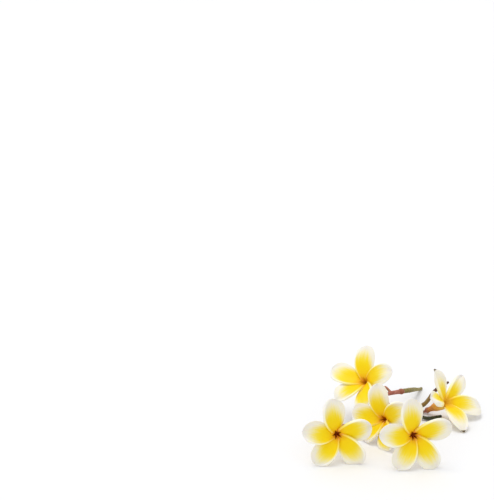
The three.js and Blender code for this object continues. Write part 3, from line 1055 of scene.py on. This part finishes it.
# ---------------------------------------------------------------- stalks
@dataclass
class Stalk:
    """A round stalk along a smooth route through its waypoints. Lengths are in millimetres.

    radii are spread evenly along it, and swellings are (share, height, width) bumps in its outline. cut
    says that its far end is cut off flat; otherwise it is blunt and round.
    """

    name: str
    route: tuple[Point, ...]
    radii: tuple[float, ...]
    skin: Skin
    swellings: tuple[tuple[float, float, float], ...] = ()
    sides: int = 20
    step: float = 0.8
    lumpiness: float = 0.05  # as a share of the radius
    cut: bool = False

    def curve_point(self, share: float) -> Vector:
        """Finds a point of the centripetal Catmull-Rom curve through the waypoints.

        Args:
            share: The point's place, from 0 at the first waypoint to 1 at the last.

        Returns:
            The point, in millimetres.
        """
        points = [Vector(p) for p in self.route]
        points = [2 * points[0] - points[1], *points, 2 * points[-1] - points[-2]]
        place = share * (len(self.route) - 1)
        first = min(len(self.route) - 2, int(place))
        p0, p1, p2, p3 = points[first : first + 4]
        d0, d1, d2 = ((b - a).length ** 0.5 for a, b in ((p0, p1), (p1, p2), (p2, p3)))
        leave = ((p1 - p0) / d0 - (p2 - p0) / (d0 + d1) + (p2 - p1) / d1) * d1
        arrive = ((p2 - p1) / d1 - (p3 - p1) / (d1 + d2) + (p3 - p2) / d2) * d1
        t = place - first
        bend = -3 * p1 + 3 * p2 - 2 * leave - arrive
        return p1 + leave * t + bend * t * t + (2 * p1 - 2 * p2 + leave + arrive) * t**3

    def centreline(self) -> list[tuple[Vector, Vector, Vector]]:
        """Divides the route evenly.

        Returns:
            The points, each with two directions across the stalk.
        """
        fine = [self.curve_point(i / FINE_STEPS) for i in range(FINE_STEPS + 1)]
        lengths = [0.0]
        for a, b in zip(fine, fine[1:]):
            lengths.append(lengths[-1] + (b - a).length)
        count = max(4, round(lengths[-1] / self.step))
        points = []
        at = 0
        for i in range(count + 1):
            wanted = lengths[-1] * i / count
            while at < len(fine) - 2 and lengths[at + 1] < wanted:
                at += 1
            share = (wanted - lengths[at]) / max(1e-9, lengths[at + 1] - lengths[at])
            points.append(fine[at].lerp(fine[at + 1], min(1.0, share)))
        tangent = (points[1] - points[0]).normalized()
        across = tangent.orthogonal().normalized()
        made = []
        for i, point in enumerate(points):
            ahead = points[min(i + 1, count)] - points[max(i - 1, 0)]
            tangent = ahead.normalized()
            across = (across - tangent * across.dot(tangent)).normalized()
            made.append((point, across, tangent.cross(across)))
        return made

    def radius(self, share: float, angle: float) -> float:
        """Works out the radius, with its swellings and its slight lumps.

        Args:
            share: Share of the length.
            angle: Angle round the stalk, in radians.

        Returns:
            The radius, in millimetres.
        """
        place = share * (len(self.radii) - 1)
        first = min(len(self.radii) - 2, int(place))
        ease = smooth(0, 1, place - first)
        radius = self.radii[first] * (1 - ease) + self.radii[first + 1] * ease
        for centre, height, width in self.swellings:
            radius += height * math.exp(-(((share - centre) / width) ** 2))
        lump = noise.noise(Vector((14 * share, math.cos(angle), math.sin(angle) + len(self.name))))
        return radius * (1 + 2 * self.lumpiness * lump)

    def add_to(self, mesh: bmesh.types.BMesh) -> None:
        """Adds the stalk to a mesh, closed at both ends.

        Args:
            mesh: The mesh.
        """
        line = self.centreline()
        last = len(line) - 1
        rows = last + 2 * CAP_ROWS

        def place(s: float, t: float) -> Vector:
            """Works out a point of the stalk's skin.

            Args:
                s: Share of the rows, those of the two ends too.
                t: Share round it.

            Returns:
                The point, in millimetres.
            """
            row = round(s * rows) - CAP_ROWS
            angle = 2 * math.pi * t
            inner = min(last, max(0, row))
            point, across, beside = line[inner]
            beyond = abs(row - inner) / CAP_ROWS
            radius = self.radius(inner / last, angle) * (1 - beyond**3)
            if beyond > 0:
                outwards = (point - line[1 if inner == 0 else last - 1][0]).normalized()
                bulge = CUT_BULGE if self.cut and inner else ROUND_BULGE
                bulge *= self.radius(inner / last, 0) * math.sin(0.5 * math.pi * beyond)
                point = point + outwards * bulge
            point = point + across * (radius * math.cos(angle)) + beside * (radius * math.sin(angle))
            return rest(point)

        add_sheet(mesh, rows, self.sides, place, close=True)

    def build(self, palette: Palette, nodes: Sequence[str], slot: str) -> bpy.types.Object:
        """Builds the stalk as a piece of its own.

        Args:
            palette: The finishes.
            nodes: The CAD nodes that it stands for.
            slot: Not used.

        Returns:
            The stalk.
        """
        mesh = start_mesh()
        self.add_to(mesh)
        return finish_piece(mesh, self.name, [palette.get(self.skin.value)], nodes)


@dataclass
class FlowerStalk:
    """The stalk of the whole cluster: main stalk, pink axis with its branches, and two bare spurs."""

    main: Stalk = field(
        default_factory=lambda: Stalk(
            "main_stalk",
            (KNOT, (21.3, 49, 18.4), (31, 69, 10.1), (38, 84, 3.4), CUT_END),
            (2.5, 2.6, 2.4, 1.9, 1.5),
            Skin.OLIVE,
            swellings=((0.3, 0.25, 0.015), (0.62, 0.2, 0.012)),
            cut=True,
        )
    )
    axis: tuple[Stalk, ...] = (
        Stalk(
            "axis", (KNOT, (2, 31, 23.8), UPPER_FORK, (-2, 13, 18), LOWER_FORK), (2.3, 1.9, 1.9), Skin.PINK
        ),
        Stalk("right_branch", (LOWER_FORK, FRONT_FORK, SPUR_FORK, RIGHT_FORK), (2.0, 1.7), Skin.PINK),
        Stalk("left_branch", (LOWER_FORK, MIDDLE_FORK, (-38, -5, 3.8), LEFT_FORK), (2.0, 1.7), Skin.PINK),
    )
    forks: tuple[tuple[Point, float], ...] = (
        (KNOT, 3.1),
        ((1.0, 31.3, 23.9), 2.3),
        (LOWER_FORK, 2.5),
        (MIDDLE_FORK, 2.3),
        (FRONT_FORK, 2.3),
        (SPUR_FORK, 2.2),
        (RIGHT_FORK, 2.3),
        (LEFT_FORK, 2.2),
    )
    knot_stretch: float = 1.2  # how much longer the knot is along X than it is thick
    weld_size: float = 0.35  # mm, how finely the branches are grown together
    weld_rounds: int = 6
    upper_spur: Stalk = field(
        default_factory=lambda: Stalk(
            "bare_upper_spur",
            (SPUR_FORK, (28, 27.5, 7.5), (38, 36, 9.6), (50.7, 52, 17), (66.5, 70, 18)),
            (1.5, 2.1, 2.1, 1.9, 1.3),
            Skin.BROWN,
            swellings=((0.35, 0.25, 0.012), (0.55, 0.25, 0.012), (0.75, 0.2, 0.012), (0.88, 0.2, 0.012)),
        )
    )
    lower_spur: Stalk = field(
        default_factory=lambda: Stalk(
            "bare_lower_spur",
            (RIGHT_FORK, (38, 15.5, 2.6), (53, 21.5, 2)),
            (1.5, 1.9, 1.5),
            # Skin darkened partly with painted shade, for the shade under the right bloom.
            Skin.DARK_AND_SHADED,
            swellings=((0.5, 0.2, 0.025), (0.8, 0.2, 0.025)),
        )
    )

    def build_axis(self, palette: Palette) -> bpy.types.Object:
        """Builds the pink axis, its branches and forks grown together into one surface.

        Args:
            palette: The finishes.

        Returns:
            The axis.
        """
        mesh = start_mesh()
        for stalk in self.axis:
            stalk.add_to(mesh)
        for place, radius in self.forks:
            centre = Vector(place) * MM
            made = bmesh.ops.create_uvsphere(
                mesh, u_segments=20, v_segments=12, radius=radius * MM, matrix=Matrix.Translation(centre)
            )
            if place == KNOT:
                wider = (self.knot_stretch, 1, 1)
                around = Matrix.Translation(-centre)
                bmesh.ops.scale(mesh, vec=wider, space=around, verts=made["verts"])
        materials = [palette.get(Skin.PINK.value)]
        piece = finish_piece(
            mesh, "axis_and_branches", materials, ["flower_axis"], smoothing=0
        )
        grown = piece.modifiers.new("grown", "REMESH")
        grown.mode = "VOXEL"
        grown.voxel_size = self.weld_size * MM
        grown.use_smooth_shade = True
        even = piece.modifiers.new("even", "SMOOTH")
        even.factor = 0.5
        even.iterations = self.weld_rounds
        return piece

    def build(self, palette: Palette) -> None:
        """Builds every stalk but the blooms' own.

        Args:
            palette: The finishes.
        """
        self.main.build(palette, ["peduncle"], "ripe_stalk")
        self.build_axis(palette)
        self.upper_spur.build(palette, ["upper_spur"], "ripe_stalk")
        self.lower_spur.build(palette, ["lower_spur"], "ripe_stalk")


@dataclass
class Cluster:
    """The five blooms, each on its own thin stalk, and the stalk that bears them all."""

    blooms: tuple[Bloom, ...] = (
        Bloom(
            "top", (-26.5, 20, 40.5), -49, 43, 16, 13, 0.8,
            (Petal(36.5, 5), Petal(39, 8), Petal(33, -4), Petal(36, -7, pale=-4), Petal(37.5, -2)),
            run=1.5,
            tube_skin=GOLDEN_TUBE, throat=0.4, seed=11,
        ),
        Bloom(
            "middle", (-11, -28.5, 23), -44, 18, 15, 10.5, 0.9,
            (
                Petal(35.5, 4, pale=0.5),
                Petal(34.5, 8),
                Petal(28.5, -4, 0.5, -0.08, 0.74),
                Petal(32, -14, pale=-5),
                Petal(36, 2, pale=0.5),
            ),
            tube_skin=GOLDEN_TUBE, throat=0.6, seed=12,
        ),
        Bloom(
            "lower_left", (-61.5, -67.5, 27), 5.5, 10.5, 3.5, 9, 1,
            (Petal(37.5, 6), Petal(35, 3), Petal(35, -8), Petal(36.5, 0), Petal(33.5, -7)), seed=13,
        ),
        Bloom(
            "lower_middle", (11, -75.5, 30), 7, 11, 4.5, 9.5, 1,
            (Petal(38, 2.5), Petal(35, 5.5), Petal(35.5, 2, pale=1.5), Petal(37.5, -7.5), Petal(37, -6)),
            seed=14,
        ),
        Bloom(
            "right", (55.5, 19.5, 17.8), 55, 35, 2, 14, 0.8,
            (
                Petal(37.2, 2.4, -2.4, -0.37, 0.78, 0.8, pale=4.0, dry=True),
                Petal(32.5, -11, -5, 0.1, 0.8, roll=2.5, pale=-2),
                Petal(36.5, 5, 3.2, 0.5, 0.8, 0.8, pale=3.5, dry=True),
                Petal(39.6, 13, 2.7, -0.16, 0.98, pale=1.8),
                Petal(37, 2.3, 0.1, -0.18, 0.78, 0.3, pale=1.0),
            ),
            tube=24, tube_skin=GOLDEN_TUBE, throat=0.0, funnel=4.8, run=2.5, seed=15,
        ),
    )
    pedicel_routes: tuple[tuple[Point, ...], ...] = (
        ((-9, 34.5, 27), (-4.5, 35.5, 28.5), (1, 31.3, 24.6)),
        (MIDDLE_FORK,),
        (LEFT_FORK,),
        ((7, -36, 22), (15, -19, 14), FRONT_FORK),
        ((31.5, 28.5, 2.3), RIGHT_FORK),
    )
    stalk: FlowerStalk = field(default_factory=FlowerStalk)

    def build(self, palette: Palette) -> None:
        """Builds the whole cluster.

        Args:
            palette: The finishes.
        """
        for bloom, waypoints in zip(self.blooms, self.pedicel_routes):
            bloom.build_petals(palette)
            bloom.build_tube(palette)
            bloom.build_calyx(palette)
            start = bloom.behind(bloom.tube + FIT_GAP + 0.5 * CALYX_FOOT)
            leave = bloom.behind(bloom.tube + CALYX_FOOT + bloom.run)
            pedicel = Stalk(
                f"stalk_{bloom.place}",
                (start, leave, *waypoints),
                (1.5, 1.3, 1.25, 1.3, 1.5),
                Skin.PEDICEL,
                sides=16,
            )
            pedicel.build(palette, [f"pedicel_{bloom.place}"], "young_stalk")
        self.stalk.build(palette)


# ---------------------------------------------------------------- studio
@dataclass
class Studio:
    """A plain pale floor, a soft key, a softer fill from the front and the photograph's camera."""

    floor_size: float = 40.0  # metres
    floor_colour: str = "#EFEFF0"
    sky_colour: str = "#FCFDFF"
    sky_strength: float = 0.88
    key_from: Point = (-0.2, 0.12, 1.0)
    key_angle: float = 30.0  # degrees across, which sets how soft the shadows are
    key_strength: float = 0.95
    fill_from: Point = (-0.2, -1.0, 0.6)
    fill_angle: float = 70.0
    fill_strength: float = 0.12

    def build_floor(self) -> None:
        """Adds the floor."""
        mesh = bmesh.new()
        bmesh.ops.create_grid(mesh, x_segments=1, y_segments=1, size=self.floor_size / 2)
        data = bpy.data.meshes.new("floor")
        mesh.to_mesh(data)
        mesh.free()
        floor = bpy.data.objects.new("floor", data)
        bpy.context.scene.collection.objects.link(floor)
        material, _, shader = start_material("matt_paper_floor", Roughness=0.9)
        shader.inputs["Base Color"].default_value = linear(self.floor_colour)
        data.materials.append(material)
        floor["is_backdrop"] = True

    def build_light(self) -> None:
        """Adds an even pale sky and two distant soft lights."""
        world = bpy.data.worlds.new("studio")
        bpy.context.scene.world = world
        world.use_nodes = True
        background = world.node_tree.nodes["Background"]
        background.inputs["Color"].default_value = linear(self.sky_colour)
        background.inputs["Strength"].default_value = self.sky_strength
        self.add_sun("key", self.key_from, self.key_angle, self.key_strength)
        self.add_sun("fill", self.fill_from, self.fill_angle, self.fill_strength)

    def add_sun(self, name: str, place: Point, angle: float, strength: float) -> None:
        """Adds a distant light.

        Args:
            name: Its name.
            place: Where it shines from.
            angle: How wide it looks, in degrees, which sets how soft its shadows are.
            strength: Its strength.
        """
        light = bpy.data.lights.new(name, "SUN")
        light.angle = math.radians(angle)
        light.energy = strength
        sun = bpy.data.objects.new(name, light)
        sun.location = place
        sun.rotation_euler = Vector(place).to_track_quat("Z", "Y").to_euler()
        bpy.context.scene.collection.objects.link(sun)

    def build_camera(self) -> None:
        """Adds the camera at the photograph's place, angle and focal length."""
        data = bpy.data.cameras.new("camera")
        data.sensor_width = SENSOR_WIDTH
        data.lens = SENSOR_WIDTH * FOCAL_PIXELS / FRAME_PIXELS
        data.clip_end = 100.0
        camera = bpy.data.objects.new("camera", data)
        camera.location = Vector(CAMERA_PLACE) * MM
        camera.rotation_euler = (math.radians(90 - CAMERA_PITCH), 0.0, 0.0)
        bpy.context.scene.collection.objects.link(camera)
        bpy.context.scene.camera = camera

    def build(self) -> None:
        """Builds the studio."""
        self.build_floor()
        self.build_light()
        self.build_camera()
        bpy.context.scene.view_settings.view_transform = "Standard"


def main() -> None:
    """Builds the cluster and the studio."""
    logging.basicConfig(level=logging.INFO, format="%(message)s")
    Studio().build()
    Cluster().build(Palette())
    boxes = {"cad": CAD_BOX, "visual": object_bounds()}
    boxes = {name: [list(corner) for corner in box] for name, box in boxes.items()}


if __name__ == "__main__":
    main()
